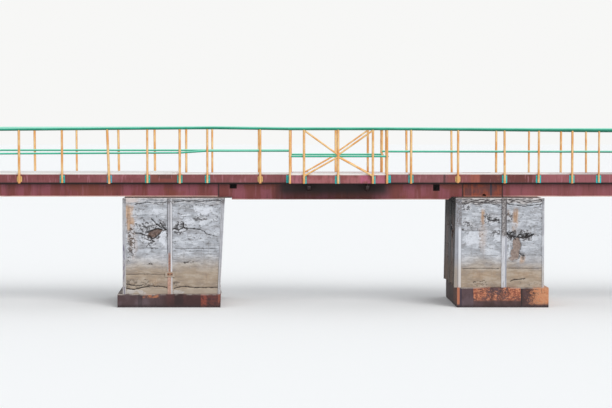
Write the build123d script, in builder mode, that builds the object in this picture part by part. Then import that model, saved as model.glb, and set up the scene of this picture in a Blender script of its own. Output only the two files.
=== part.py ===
from build123d import *
import os

os.makedirs("parts", exist_ok=True)

# Millimetres. X runs along the deck, minus Y is the side in the picture, Z is up.
# z = 0 is the foot of the steel bases, x = 0 is midway between the two inner piers.

# Levels, from the walking surface down
deck_top = 3190
plank_thick = 40
edge_depth = 200
side_depth = 330
mid_depth = 400
seat_thick = 30
deck_under = deck_top - plank_thick
low_deck_top = deck_under
low_deck_under = low_deck_top - plank_thick
kerb_top = 3180
girder_top = deck_under - edge_depth
pier_top = girder_top - side_depth - seat_thick

# Lengths and widths of the whole bridge
deck_end = 13000
deck_half = 915
step_x = -3900
web_y = 785
pier_half = 1150
pier_pitch = 7800

# Rolled sections: depth, flange width, web, flange thickness
side_beam = (side_depth, 140, 7, 11.2)
mid_beam = (mid_depth, 155, 8.3, 13)
edge_flange, edge_web, edge_thick = 76, 5.2, 9
root_radius = 13

# Joints in the pair of main girders
mid_start, mid_stop = -2795, 3048
link_stop = 3995
cope_left, cope_right_low, cope_right_high = -2477, 2700, 2800
notch_x, notch_radius = 3560, 48
# in the near girder's web only: x from, x to, z from, z to
web_holes = ((-2529, -2360, 2810, 2925), (2338, 2496, 2753, 2908))

# Railing
rail_y = 950
top_radius, mid_radius = 38, 23
mid_rail_y = deck_half
plate_width, plate_thick, plate_low, plate_high = 120, 6, 2950, 3130

# Bay
bay_left, bay_right = -1106, 1224
bay_y = 1550
bay_half = bay_y - (rail_y - deck_half)
bay_rail_z = 4240
bay_mid_z = 3592
bay_foot = 2955
bay_brace = (-750, 865)
bay_centre = 50
bay_corners = {"near": (-1079, 1198), "far": (-1090, 1205)}
corner_radius, centre_radius, side_radius = 27, 29, 28
brace_radius = 21
brace_low, brace_high = 3130, 4202
brace_meet_low, brace_meet_high = 3580, 3626
bay_plates = ((-770, -690), (-23, 94), (843, 927))
return_left, return_right = -1090, 1215
end_left, end_right = -1082, 1200

# Piers. Each inner one, left then right: x of the concrete's corners at the foot and at the
# top, the shift of the back face along x, x of the steel base, its height, the widths of the
# corner angles' front legs at the foot and at the top, and x of the strap up the middle
skin = 8
side_leg = 110
side_strap = 60
base_step = 75
base_half = pier_half + base_step
base_wall = 12
bolt_plate = (230, 120, 10)
bolt_hole_radius = 16
bolt_hole_pitch = 76
bolt_plate_z = 780
piers = {
    "inner_left": dict(foot=(-5062, -2745), top=(-5058, -2625), skew=-120, base=(-5180, -2734), high=310,
                       left_leg=(80, 80), right_leg=(60, 95), strap=(-3994, -3876), plate=True),
    "inner_right": dict(foot=(2816, 4953), top=(2852, 4953), skew=-50, base=(2883, 5056), high=470,
                        left_leg=(165, 145), right_leg=(50, 50), strap=(3940, 4062), plate=False),
}
for end, shift in (("left", -pier_pitch), ("right", pier_pitch)):
    outer = dict(piers["inner_" + end])
    for key in ("foot", "top", "base", "strap"):
        outer[key] = tuple(x + shift for x in outer[key])
    piers["outer_" + end] = outer

for name, pier in piers.items():
    skew, high = pier["skew"], pier["high"]
    foot_left, foot_right = pier["foot"]
    top_left, top_right = pier["top"]
    across = Vector(skew, 2 * pier_half, 0)
    back = skew / (2 * pier_half)

    # Steel base: a box of plates with a ledge around the concrete
    base_left, base_right = pier["base"]
    base_in_left, base_in_right = base_left + base_wall, base_right - base_wall
    base_in_half = base_half - base_wall
    neck_left, neck_right = max(foot_left, base_left) + side_leg, foot_right - side_leg
    neck_half = pier_half - side_leg
    with BuildPart() as base:
        with BuildSketch():
            with BuildLine():
                Polyline(
                    (base_left, -base_half), (base_right, -base_half),
                    (base_right + skew, base_half), (base_left + skew, base_half), close=True,
                )
            make_face()
        extrude(amount=high)
        with BuildSketch():
            with BuildLine():
                Polyline(
                    (base_in_left, -base_in_half), (base_in_right, -base_in_half),
                    (base_in_right + skew, base_in_half), (base_in_left + skew, base_in_half), close=True,
                )
            make_face()
        extrude(amount=high - base_wall, mode=Mode.SUBTRACT)
        with BuildSketch(Plane.XY.offset(high - base_wall)):
            with BuildLine():
                Polyline(
                    (neck_left, -neck_half), (neck_right, -neck_half),
                    (neck_right + skew, neck_half), (neck_left + skew, neck_half), close=True,
                )
            make_face()
        extrude(amount=base_wall, mode=Mode.SUBTRACT)
    base.part.label = "base_" + name
    export_step(base.part, "parts/base_" + name + ".step")

    # Corner angles and straps on all four faces
    strap_left, strap_right = pier["strap"]
    left_low, left_high = pier["left_leg"]
    right_low, right_high = pier["right_leg"]
    edges = (
        (foot_left, foot_left + skin, top_left + skin, top_left),
        (foot_right - skin, foot_right, top_right, top_right - skin),
    )
    with BuildPart() as straps:
        for y_face, inward, shift in ((-pier_half, 1, 0), (pier_half, -1, skew)):
            for a, b, c, d in (
                (foot_left, foot_left + left_low, top_left + left_high, top_left),
                (foot_right - right_low, foot_right, top_right, top_right - right_high),
                (strap_left, strap_right, strap_right, strap_left),
            ):
                with BuildSketch(Plane.XZ.offset(-y_face)):
                    with BuildLine():
                        Polyline(
                            (a + shift, high), (b + shift, high),
                            (c + shift, pier_top), (d + shift, pier_top), close=True,
                        )
                    make_face()
                extrude(amount=-inward * skin)
            # legs of the angles along the end faces, which follow the pier's skew
            for a, b, c, d in edges:
                with BuildSketch(Plane.XZ.offset(-y_face)):
                    with BuildLine():
                        Polyline(
                            (a + shift, high), (b + shift, high),
                            (c + shift, pier_top), (d + shift, pier_top), close=True,
                        )
                    make_face()
                extrude(amount=side_leg, dir=across * inward)
        for a, b, c, d in edges:
            shift = back * (pier_half - side_strap)
            with BuildSketch(Plane.XZ.offset(side_strap)):
                with BuildLine():
                    Polyline(
                        (a + shift, high), (b + shift, high),
                        (c + shift, pier_top), (d + shift, pier_top), close=True,
                    )
                make_face()
            extrude(amount=2 * side_strap, dir=across)
        if pier["plate"]:
            # a short plate across the front strap, with two bolt holes
            cross_long, cross_high, cross_deep = bolt_plate
            with BuildSketch(Plane.XZ.offset(pier_half)):
                with Locations(((strap_left + strap_right) / 2, bolt_plate_z)):
                    Rectangle(cross_long, cross_high)
            extrude(amount=cross_deep)
            with BuildSketch(Plane.XZ.offset(pier_half + cross_deep)):
                with Locations(((strap_left + strap_right) / 2, bolt_plate_z)):
                    with GridLocations(bolt_hole_pitch, 0, 2, 1):
                        Circle(bolt_hole_radius)
            extrude(amount=-cross_deep - skin, mode=Mode.SUBTRACT)
    straps.part.label = "straps_" + name
    export_step(straps.part, "parts/straps_" + name + ".step")

    # Concrete, behind the straps above the base and filling the base below
    with BuildPart() as body:
        with BuildSketch(Plane.XZ.offset(pier_half - skin)):
            with BuildLine():
                shift = back * skin
                Polyline(
                    (foot_left + skin + shift, high), (foot_right - skin + shift, high),
                    (top_right - skin + shift, pier_top), (top_left + skin + shift, pier_top), close=True,
                )
            make_face()
        extrude(amount=(across * (1 - skin / pier_half)).length, dir=across)
        with BuildSketch(Plane.XY.offset(high - base_wall)):
            with BuildLine():
                Polyline(
                    (neck_left, -neck_half), (neck_right, -neck_half),
                    (neck_right + skew, neck_half), (neck_left + skew, neck_half), close=True,
                )
            make_face()
        extrude(amount=base_wall)
        with BuildSketch():
            with BuildLine():
                Polyline(
                    (base_in_left, -base_in_half), (base_in_right, -base_in_half),
                    (base_in_right + skew, base_in_half), (base_in_left + skew, base_in_half), close=True,
                )
            make_face()
        extrude(amount=high - base_wall)
    body.part.label = "concrete_" + name
    export_step(body.part, "parts/concrete_" + name + ".step")

# Seat plates on the pier tops, under the girder ends
seat_width = 220
seat_spans = ((-3430, -2480), (2925, 3960), (-4800, -4300), (-12600, -11000), (11000, 12600))
with BuildPart() as seats:
    for x_a, x_b in seat_spans:
        with BuildSketch(Plane.XY.offset(pier_top)):
            for y in (-web_y, web_y):
                with Locations(((x_a + x_b) / 2, y)):
                    Rectangle(x_b - x_a, seat_width)
        extrude(amount=seat_thick)
seats.part.label = "seat_plates"
export_step(seats.part, "parts/seat_plates.step")

# Main girders
for key, side in (("near", -1), ("far", 1)):
    for part_name, x_a, x_b, (depth, width, web, thick) in (
        ("left", -deck_end, mid_start, side_beam),
        ("mid", mid_start, mid_stop, mid_beam),
        ("link", mid_stop, link_stop, side_beam),
        ("right", link_stop, deck_end, side_beam),
    ):
        low = girder_top - depth
        raised = girder_top - side_depth
        with BuildPart() as girder:
            with BuildSketch(Plane.YZ.offset(x_a)) as section:
                with Locations((side * web_y, girder_top - depth / 2)):
                    Rectangle(web, depth)
                with Locations((side * web_y, low + thick / 2), (side * web_y, girder_top - thick / 2)):
                    Rectangle(width, thick)
                roots = [v for v in section.vertices() if abs(abs(v.X - side * web_y) - web / 2) < 0.01]
                fillet(roots, root_radius)
            extrude(amount=x_b - x_a)
            if part_name == "mid":
                # both ends are coped to sit level with the shallower girders
                with BuildSketch(Plane.XZ.offset(-(side * web_y + width))):
                    with BuildLine():
                        Polyline(
                            (x_a, low), (cope_left, low), (cope_left, raised), (x_a, raised), close=True,
                        )
                    make_face()
                    with BuildLine():
                        Polyline(
                            (cope_right_low, low), (x_b, low), (x_b, raised),
                            (cope_right_high, raised), close=True,
                        )
                    make_face()
                extrude(amount=2 * width, mode=Mode.SUBTRACT)
                # flange plates welded on along the raised ends
                with BuildSketch(Plane.XY.offset(raised)):
                    for p, q in ((x_a, cope_left), (cope_right_high, x_b)):
                        with Locations(((p + q) / 2, side * web_y)):
                            Rectangle(q - p, width)
                extrude(amount=thick)
                for p, q, z_a, z_b in web_holes if key == "near" else ():
                    with BuildSketch(Plane.XZ.offset(-(side * web_y + 20))):
                        with Locations(((p + q) / 2, (z_a + z_b) / 2)):
                            Rectangle(q - p, z_b - z_a)
                    extrude(amount=40, mode=Mode.SUBTRACT)
            if part_name == "link":
                notch_left = (notch_x - notch_radius, low + thick)
                notch_right = (notch_x + notch_radius, low + thick)
                with BuildSketch(Plane.XZ.offset(-(side * web_y + 20))):
                    with BuildLine():
                        Line(notch_left, notch_right)
                        RadiusArc(notch_left, notch_right, notch_radius)
                    make_face()
                extrude(amount=40, mode=Mode.SUBTRACT)
        girder.part.label = f"girder_{key}_{part_name}"
        export_step(girder.part, f"parts/girder_{key}_{part_name}.step")

# Cross-beams between the edge channels, resting on the girders
beam_count = 26
beam_inset = 60
beam_flange = 38
beam_span = 2 * deck_half - 2 * edge_flange
with BuildPart() as beams:
    for i in range(beam_count + 1):
        x = -deck_end + beam_inset + i * 2 * (deck_end - beam_inset) / beam_count
        face = 1 if x <= 0 else -1
        beam_top = deck_under if x < step_x else low_deck_under
        tip = x + face * beam_flange
        heel = x - face * beam_flange
        inner = heel + face * edge_web
        with BuildSketch(Plane.XZ.offset(-beam_span / 2)):
            with BuildLine():
                Polyline(
                    (heel, girder_top), (tip, girder_top),
                    (tip, girder_top + edge_thick), (inner, girder_top + edge_thick),
                    (inner, beam_top - edge_thick), (tip, beam_top - edge_thick),
                    (tip, beam_top), (heel, beam_top), close=True,
                )
            make_face()
        extrude(amount=beam_span)
beams.part.label = "cross_beams"
export_step(beams.part, "parts/cross_beams.step")

joist_x = (-630, 750)
joist_wide = 60
for key, side in (("near", -1), ("far", 1)):
    # Edge channels, webs outward
    outer = side * deck_half
    inner = side * (deck_half - edge_flange)
    web_in = side * (deck_half - edge_web)
    with BuildPart() as edge:
        with BuildSketch(Plane.YZ.offset(-deck_end)):
            with BuildLine():
                Polyline(
                    (outer, girder_top), (outer, deck_under), (inner, deck_under),
                    (inner, deck_under - edge_thick), (web_in, deck_under - edge_thick),
                    (web_in, girder_top + edge_thick), (inner, girder_top + edge_thick),
                    (inner, girder_top), close=True,
                )
            make_face()
        extrude(amount=2 * deck_end)
    edge.part.label = "edge_channel_" + key
    export_step(edge.part, f"parts/edge_channel_{key}.step")

    # Frame of the bay: a channel along the front, webs outward, closed by two end channels,
    # with two joists under the boards
    bay_middle = (bay_left + bay_right) / 2
    bay_long = bay_right - bay_left
    bay_deep = bay_half - deck_half
    with BuildPart() as bay_frame:
        with BuildSketch(Plane.XY.offset(girder_top)):
            with Locations((bay_middle, side * (deck_half + bay_half) / 2)):
                Rectangle(bay_long, bay_deep)
        extrude(amount=edge_depth)
        with BuildSketch(Plane.XY.offset(girder_top)):
            with Locations((bay_middle, side * (deck_half + bay_half - edge_flange) / 2)):
                Rectangle(bay_long - 2 * edge_flange, bay_deep - edge_flange)
        extrude(amount=edge_depth, mode=Mode.SUBTRACT)
        with BuildSketch(Plane.XY.offset(girder_top + edge_thick)):
            with Locations((bay_middle, side * (deck_half + bay_half - edge_web) / 2)):
                Rectangle(bay_long - 2 * edge_web, bay_deep - edge_web)
        extrude(amount=edge_depth - 2 * edge_thick, mode=Mode.SUBTRACT)
        with BuildSketch(Plane.XY.offset(girder_top)):
            for x in joist_x:
                with Locations((x, side * (deck_half + bay_half - edge_web) / 2)):
                    Rectangle(joist_wide, bay_deep - edge_web)
        extrude(amount=low_deck_under - girder_top)
    bay_frame.part.label = "bay_frame_" + key
    export_step(bay_frame.part, f"parts/bay_frame_{key}.step")

# Outriggers under the bays: tapered brackets welded to the girder webs
outrigger_root, outrigger_tip = 190, 50
with BuildPart() as outriggers:
    for side in (-1, 1):
        root = side * (web_y + mid_beam[2] / 2)
        lip = side * (web_y + mid_beam[1] / 2)
        tip = side * (bay_half - 15)
        under = girder_top - mid_beam[3]
        root_z = girder_top - outrigger_root
        tip_z = girder_top - outrigger_tip
        for x in joist_x:
            with BuildSketch(Plane.YZ.offset(x - 5)):
                with BuildLine():
                    Polyline(
                        (root, under - root_radius), (root + side * root_radius, under),
                        (lip, under), (lip, girder_top), (tip, girder_top),
                        (tip, tip_z), (root, root_z), close=True,
                    )
                make_face()
            extrude(amount=10)
            with BuildSketch(Plane.YZ.offset(x - 35)):
                with BuildLine():
                    Polyline((root, root_z - 8), (tip, tip_z - 8), (tip, tip_z), (root, root_z), close=True)
                make_face()
            extrude(amount=70)
outriggers.part.label = "outriggers"
export_step(outriggers.part, "parts/outriggers.step")

# Decks. The left one lies on the edge channels, the others lie between them, level with their
# tops, with a kerb board along the near channel
deck_joints = (-deck_end, step_x, 3900, deck_end)
inner_half = deck_half - edge_flange
kerb_wide = edge_flange + 4
kerbs = {"mid": ((step_x, bay_left), (bay_right, 3900)), "right": ((3900, deck_end),)}
for part_name, x_a, x_b in zip(("left", "mid", "right"), deck_joints, deck_joints[1:]):
    raised = part_name == "left"
    with BuildPart() as deck:
        with BuildSketch(Plane.XY.offset(deck_under if raised else low_deck_under)):
            with Locations(((x_a + x_b) / 2, 0)):
                Rectangle(x_b - x_a, 2 * (deck_half if raised else inner_half))
        extrude(amount=plank_thick)
        if not raised:
            with BuildSketch(Plane.XY.offset(low_deck_top)):
                for p, q in kerbs[part_name]:
                    with Locations(((p + q) / 2, kerb_wide / 2 - deck_half)):
                        Rectangle(q - p, kerb_wide)
            extrude(amount=kerb_top - low_deck_top)
    deck.part.label = "deck_" + part_name
    export_step(deck.part, f"parts/deck_{part_name}.step")
board_long = bay_long - 2 * edge_flange
board_deep = bay_deep - edge_flange
for key, side in (("near", -1), ("far", 1)):
    with BuildPart() as bay_deck:
        with BuildSketch(Plane.XY.offset(low_deck_under)):
            with Locations((bay_middle, side * (deck_half + board_deep / 2))):
                Rectangle(board_long, board_deep)
        extrude(amount=plank_thick)
        if key == "near":
            with BuildSketch(Plane.XY.offset(low_deck_top)):
                with Locations((bay_middle, kerb_wide / 2 - bay_half)):
                    Rectangle(bay_long, kerb_wide)
            extrude(amount=kerb_top - low_deck_top)
    bay_deck.part.label = "deck_bay_" + key
    export_step(bay_deck.part, f"parts/deck_bay_{key}.step")

# Railing posts: x at the foot, x at the head, foot level, radius. The ones beside the bay stand
# on its frame, the others are bolted to the edge channels
posts = {
    "near_left": [
        (-12640, -12640, 2950, 29), (-11620, -11620, 2960, 26), (-10600, -10600, 2950, 29),
        (-9580, -9580, 2960, 26), (-8560, -8560, 2950, 29), (-7536, -7536, 2940, 30),
        (-6513, -6513, 2950, 27), (-5390, -5435, 2930, 30), (-4482, -4482, 2950, 26),
        (-3710, -3710, 2940, 29), (-3053, -3053, 2950, 26), (-1794, -1794, 2940, 29),
        (end_left, end_left, deck_under, 22),
    ],
    "near_right": [
        (end_right, end_right, deck_under, 22), (1799, 1799, 2935, 29), (2918, 2918, 2950, 28),
        (4033, 4021, 2940, 27), (4840, 4840, 2960, 26), (5637, 5637, 2940, 28),
        (6273, 6273, 2965, 22), (7300, 7300, 2950, 27), (8320, 8320, 2950, 27),
        (9360, 9360, 2960, 27), (10400, 10400, 2950, 27), (11500, 11500, 2950, 27),
        (12640, 12640, 2950, 29),
    ],
    "far_left": [
        (-12640, -12640, 2950, 29), (-11600, -11600, 2950, 26), (-10560, -10560, 2950, 29),
        (-9540, -9540, 2950, 26), (-8520, -8520, 2950, 29), (-7475, -7483, 2950, 29),
        (-6430, -6436, 2950, 25), (-5375, -5393, 2950, 29), (-4476, -4485, 2950, 29),
        (-3696, -3696, 2950, 28), (-3046, -3046, 2950, 25), (-1880, -1880, 2950, 28),
        (end_left, end_left, deck_under, 22),
    ],
    "far_right": [
        (end_right, end_right, deck_under, 22), (1818, 1802, 2950, 28), (2944, 2926, 2950, 26),
        (4050, 4050, 2950, 28), (4867, 4867, 2950, 24), (5667, 5667, 2950, 28),
        (6300, 6290, 2950, 25), (7320, 7320, 2950, 27), (8340, 8340, 2950, 25),
        (9380, 9380, 2950, 27), (10420, 10420, 2950, 25), (11520, 11520, 2950, 27),
        (12640, 12640, 2950, 29),
    ],
}
# The top rails sag between the bay and the ends: points on their axes, x and z
top_lines = {
    "near_left": ((-deck_end, 4188), (-2900, 4264), (return_left, bay_rail_z)),
    "near_right": ((return_right, bay_rail_z), (5000, 4218), (deck_end, 4205)),
    "far_left": ((-deck_end, 4243), (-2950, 4262), (return_left, bay_rail_z)),
    "far_right": ((return_right, bay_rail_z), (6600, 4188), (deck_end, 4170)),
}
# The middle rails pass inside the posts: points on their axes, x and z
mid_lines = {
    "near_left": ((-deck_end, 3623), (-3710, 3668), (-3053, 3712), (end_left, 3712)),
    "near_right": ((end_right + 20, 3697), (deck_end, 3680)),
    "far_left": ((-deck_end, 3709), (end_left, 3703)),
    "far_right": ((end_right, 3677), (deck_end, 3665)),
}

for key, side in (("near", -1), ("far", 1)):
    y_rail = side * rail_y
    y_start = side * (rail_y - top_radius - 4)
    y_bay = side * bay_y
    y_mid = side * bay_half
    corner_left, corner_right = bay_corners[key]

    # Bay: the top rail turns back to the straight railing at both ends
    with BuildPart() as bay_top:
        with BuildLine() as path:
            Polyline(
                (return_left, y_start, bay_rail_z), (return_left, y_bay, bay_rail_z),
                (return_right, y_bay, bay_rail_z), (return_right, y_start, bay_rail_z),
            )
        with BuildSketch(Plane(origin=path.line @ 0, z_dir=path.line % 0)):
            Circle(top_radius)
        sweep(path=path.line, transition=Transition.RIGHT)
    with BuildPart() as bay_posts:
        for x, radius, behind in (
            (corner_left, corner_radius, 0), (bay_brace[0], side_radius, plate_thick),
            (bay_centre, centre_radius, plate_thick), (bay_brace[1], side_radius, plate_thick),
            (corner_right, corner_radius, 0),
        ):
            with BuildSketch(Plane.XY.offset(bay_foot)):
                with Locations((x, side * (bay_half + behind + radius))):
                    Circle(radius)
            extrude(amount=bay_rail_z - bay_foot)
        add(bay_top.part, mode=Mode.SUBTRACT)
    bay_posts.part.label = "bay_posts_" + key
    export_step(bay_posts.part, f"parts/bay_posts_{key}.step")

    # four braces meet on the middle post, the upper pair a little above the lower
    with BuildPart() as brace:
        y_brace = side * (bay_half + plate_thick + side_radius)
        for x in bay_brace:
            for z_outer, z_meet in ((brace_low, brace_meet_low), (brace_high, brace_meet_high)):
                start = Vector(x, y_brace, z_outer)
                along = Vector(bay_centre, y_brace, z_meet) - start
                with BuildSketch(Plane(origin=start, z_dir=along)):
                    Circle(brace_radius)
                extrude(amount=along.length)
        add(bay_posts.part, mode=Mode.SUBTRACT)
        add(bay_top.part, mode=Mode.SUBTRACT)
    brace.part.label = "bay_brace_" + key
    export_step(brace.part, f"parts/bay_brace_{key}.step")

    runs = {}
    for end in ("left", "right"):
        with BuildPart() as top_rail:
            with BuildLine() as path:
                Polyline(*[(x, y_rail, z) for x, z in top_lines[f"{key}_{end}"]])
            with BuildSketch(Plane(origin=path.line @ 0, z_dir=path.line % 0)):
                Circle(top_radius)
            sweep(path=path.line, transition=Transition.RIGHT)
            add(bay_top.part, mode=Mode.SUBTRACT)
        with BuildPart() as run_posts:
            for x_foot, x_head, foot, radius in posts[f"{key}_{end}"]:
                y_post = side * (deck_half + plate_thick + radius)
                start = Vector(x_foot, y_post, foot)
                along = Vector(x_head, y_post, bay_rail_z - 13) - start
                with BuildSketch(Plane(origin=start, z_dir=along)):
                    Circle(radius)
                extrude(amount=along.length)
            add(top_rail.part, mode=Mode.SUBTRACT)
            add(bay_top.part, mode=Mode.SUBTRACT)
        run_posts.part.label = f"posts_{key}_{end}"
        export_step(run_posts.part, f"parts/posts_{key}_{end}.step")
        runs[end] = run_posts

        with BuildPart() as mid_rail:
            with BuildLine() as path:
                Polyline(*[(x, side * mid_rail_y, z) for x, z in mid_lines[f"{key}_{end}"]])
            with BuildSketch(Plane(origin=path.line @ 0, z_dir=path.line % 0)):
                Circle(mid_radius)
            sweep(path=path.line, transition=Transition.RIGHT)
            add(run_posts.part, mode=Mode.SUBTRACT)
        with BuildPart() as rails:
            add(top_rail.part)
            add(mid_rail.part)
        rails.part.label = f"rails_{key}_{end}"
        export_step(rails.part, f"parts/rails_{key}_{end}.step")

    with BuildPart() as bay_mid:
        with BuildLine() as path:
            Polyline(
                (return_left, y_rail, bay_mid_z), (return_left, y_mid, bay_mid_z),
                (return_right, y_mid, bay_mid_z), (return_right, y_rail, bay_mid_z),
            )
        with BuildSketch(Plane(origin=path.line @ 0, z_dir=path.line % 0)):
            Circle(mid_radius)
        sweep(path=path.line, transition=Transition.RIGHT)
        add(bay_posts.part, mode=Mode.SUBTRACT)
        add(brace.part, mode=Mode.SUBTRACT)
        add(runs["left"].part, mode=Mode.SUBTRACT)
        add(runs["right"].part, mode=Mode.SUBTRACT)
    with BuildPart() as bay_rails:
        add(bay_top.part)
        add(bay_mid.part)
    bay_rails.part.label = "bay_rails_" + key
    export_step(bay_rails.part, f"parts/bay_rails_{key}.step")

    # Plates behind the post feet, on the webs of the channels
    bolted = [post for end in ("left", "right") for post in posts[f"{key}_{end}"] if post[2] < deck_under]
    spans = [(x - plate_width / 2, x + plate_width / 2) for x, _, _, _ in bolted]
    spans += [(bay_left - 69, bay_left - 2), (bay_right + 2, bay_right + 97)]
    with BuildPart() as plates:
        for face, pairs in ((deck_half, spans), (bay_half, bay_plates)):
            for p, q in pairs:
                with BuildSketch(Plane.XZ.offset(-side * face)):
                    with Locations(((p + q) / 2, (plate_low + plate_high) / 2)):
                        Rectangle(q - p, plate_high - plate_low)
                extrude(amount=-side * plate_thick)
    plates.part.label = "post_plates_" + key
    export_step(plates.part, f"parts/post_plates_{key}.step")
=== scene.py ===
import math
import bpy
import numpy as np
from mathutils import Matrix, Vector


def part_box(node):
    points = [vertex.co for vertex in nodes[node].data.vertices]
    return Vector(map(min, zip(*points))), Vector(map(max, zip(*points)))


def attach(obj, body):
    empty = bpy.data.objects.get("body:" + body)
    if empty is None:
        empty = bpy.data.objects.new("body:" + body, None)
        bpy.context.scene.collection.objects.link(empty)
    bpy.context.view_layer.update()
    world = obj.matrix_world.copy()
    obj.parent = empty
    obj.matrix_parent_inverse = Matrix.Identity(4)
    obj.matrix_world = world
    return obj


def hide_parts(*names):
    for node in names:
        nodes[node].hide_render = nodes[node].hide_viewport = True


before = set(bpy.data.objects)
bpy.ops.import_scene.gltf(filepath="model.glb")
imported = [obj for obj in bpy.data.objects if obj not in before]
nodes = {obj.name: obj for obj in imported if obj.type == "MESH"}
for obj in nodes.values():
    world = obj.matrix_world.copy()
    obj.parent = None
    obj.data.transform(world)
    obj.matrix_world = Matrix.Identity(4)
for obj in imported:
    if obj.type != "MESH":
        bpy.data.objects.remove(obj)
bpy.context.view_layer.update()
print("stage: frame loaded with", len(nodes), "nodes")

# Camera, floor and light

camera = {
    "place": (-0.703, -39.05, 4.23),
    "pitchDown": 2.68,  # degrees
    "lens": 94.1,
    "sensor": 36,
    "reach": 1000,
}
light = {
    "sunTilt": (52, 0, 36),  # degrees, from straight down
    "sunPower": 1.5,
    "sunSize": 40,  # degrees across, so that shadows have soft edges
    "sky": 0.74,
    "skyTint": (0.93, 0.96, 1.0, 1),
    "background": (0.93, 0.93, 0.92, 1),
    # the rays that meet the background
    "seenBy": ("Is Camera Ray", "Is Glossy Ray", "Is Transmission Ray"),
    "floor": (0.5, 0.5, 0.49, 1),  # what every other ray meets
    "floorSize": 400,
}


def linear(r, g, b):
    # a colour given from 0 to 255 as it looks on screen, changed to the shader's linear values
    c = np.array((r, g, b)) / 255
    return (*np.where(c <= 0.04045, c / 12.92, ((c + 0.055) / 1.055) ** 2.4), 1)


# Shader maths as plain expressions

def operator(operation, turned=False):
    # a way to join a value and another or a number, turned where the number comes first
    def join(self, other):
        return self.maths(operation, *((other, self) if turned else (self, other)))
    return join


class Value:
    # one output socket of a tree of nodes; the operators add Math nodes
    def __init__(self, home, socket):
        self.home, self.socket = home, socket

    def maths(self, operation, a, b=0.0):
        return self.home.node("ShaderNodeMath", {"operation": operation}, {0: a, 1: b})

    def __abs__(self):
        return self.maths("ABSOLUTE", self)

    __add__, __radd__ = operator("ADD"), operator("ADD", True)
    __sub__, __rsub__ = operator("SUBTRACT"), operator("SUBTRACT", True)
    __mul__, __rmul__ = operator("MULTIPLY"), operator("MULTIPLY", True)
    max, min = operator("MAXIMUM"), operator("MINIMUM")

    def sway(self, amount):
        # noise made to swing about 0, amount from end to end
        return amount * (self - 0.5)

    def ramp(self, low, high):
        # 0 below low, 1 above high and smooth between; low may be the larger, which turns it round
        return self.home.node("ShaderNodeMapRange", {"interpolation_type": "SMOOTHSTEP"},
                              {0: self, 1: low, 2: high, 3: 0.0, 4: 1.0})

    def band(self, middle, half, soft):
        # 1 where the value is within half of middle, fading out over soft
        return abs(self - middle).ramp(half + soft, half)

    def between(self, low, high, soft=0.01):
        # 1 from low to high, fading out over soft on both sides
        return self.band((low + high) / 2, (high - low) / 2, soft)

    def shade(self, low, high, a, b):
        # colour a below low, b above high and a blend of them between
        return self.home.mix(self.ramp(low, high), a, b)


class Nodes:
    # the nodes of one material or of the world, started empty
    def __init__(self, owner):
        owner.use_nodes = True
        self.owner, self.tree = owner, owner.node_tree
        self.tree.nodes.clear()

    def node(self, kind, settings, inputs, output=0):
        # any node: its settings first, then what goes into its sockets
        made = self.tree.nodes.new(kind)
        for key, value in settings.items():
            setattr(made, key, value)
        for key, value in inputs.items():
            if isinstance(value, Value):
                self.tree.links.new(value.socket, made.inputs[key])
            else:
                made.inputs[key].default_value = value
        return Value(self, made.outputs[output]) if len(made.outputs) else None

    def seen(self):
        # 1 for the rays that meet the background and 0 for those that light the bridge
        rays = (self.node("ShaderNodeLightPath", {}, {}, ray) for ray in light["seenBy"])
        return sum(rays, 0.0).min(1)


class Finish(Nodes):
    # one material; its colour is what the layers laid so far have made
    def __init__(self, name):
        super().__init__(bpy.data.materials.new(name))
        self.colour = None
        self.place = self.node("ShaderNodeTexCoord", {}, {}, "Object")
        self.x, self.y, self.z = self.parts(self.place)
        facing = self.node("ShaderNodeTexCoord", {}, {}, "Normal")
        self.rightward, self.backward, self.upward = self.parts(facing)

    def parts(self, vector):
        # the three numbers of a vector
        split = self.node("ShaderNodeSeparateXYZ", {}, {0: vector}).socket.node
        return [Value(self, socket) for socket in split.outputs]

    def pierX(self):
        # x with the outer piers brought back onto the inner ones, which carry the same marks
        leftOuter, rightOuter = self.x.ramp(-6.40, -6.41), self.x.ramp(6.40, 6.41)
        return self.x + pierPitch * leftOuter - pierPitch * rightOuter

    def noise(self, size, detail=4, along=1, level=1, tall=1, shift=0.0, roughness=0.55):
        # cloudy noise from 0 to 1 whose lumps are about size metres across, tall times as high,
        # level times as wide both ways and along times as long in x
        scale = (1 / (size * level * along), 1 / (size * level), 1 / (size * tall))
        where = self.node("ShaderNodeMapping", {}, {
            "Vector": self.place, "Location": (shift, shift * 1.7, shift * 0.6), "Scale": scale})
        return self.node("ShaderNodeTexNoise", {}, {
            "Vector": where, "Scale": 1.0, "Detail": detail, "Roughness": roughness})

    def attribute(self, name):
        return self.node("ShaderNodeAttribute", {"attribute_name": name}, {}, 2)

    def mix(self, mask, a, b):
        # colour a where mask is 0 and b where it is 1; three plain numbers are a screen colour
        a, b = (linear(*c) if isinstance(c, tuple) and len(c) == 3 else c for c in (a, b))
        return self.node("ShaderNodeMix", {"data_type": "RGBA"}, {0: mask, 6: a, 7: b}, 2)

    def over(self, colour, *layers):
        # colour with the layers laid over it in turn, each a mask and the colour that it brings
        for mask, tint in layers:
            colour = self.mix(mask, colour, tint)
        return colour

    def lay(self, *layers):
        # the same over the material's colour
        self.colour = self.over(self.colour, *layers)

    def finish(self, roughness, height=None, strength=0.4, depth=0.004):
        inputs = {"Base Color": self.colour, "Roughness": roughness}
        if height is not None:
            inputs["Normal"] = self.node("ShaderNodeBump", {}, {
                "Height": height, "Strength": strength, "Distance": depth})
        self.node("ShaderNodeOutputMaterial", {}, {
            0: self.node("ShaderNodeBsdfPrincipled", {}, inputs)})
        return self.owner


# Numbers that stand in for chance, the same on each run

def lattice(ix, iz, seed):
    # the fraction of a large sine: one repeatable number from 0 to 1 for each pair of whole numbers
    n = np.sin(ix * 127.1 + iz * 311.7 + seed * 74.7) * 43758.5453
    return n - np.floor(n)


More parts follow.
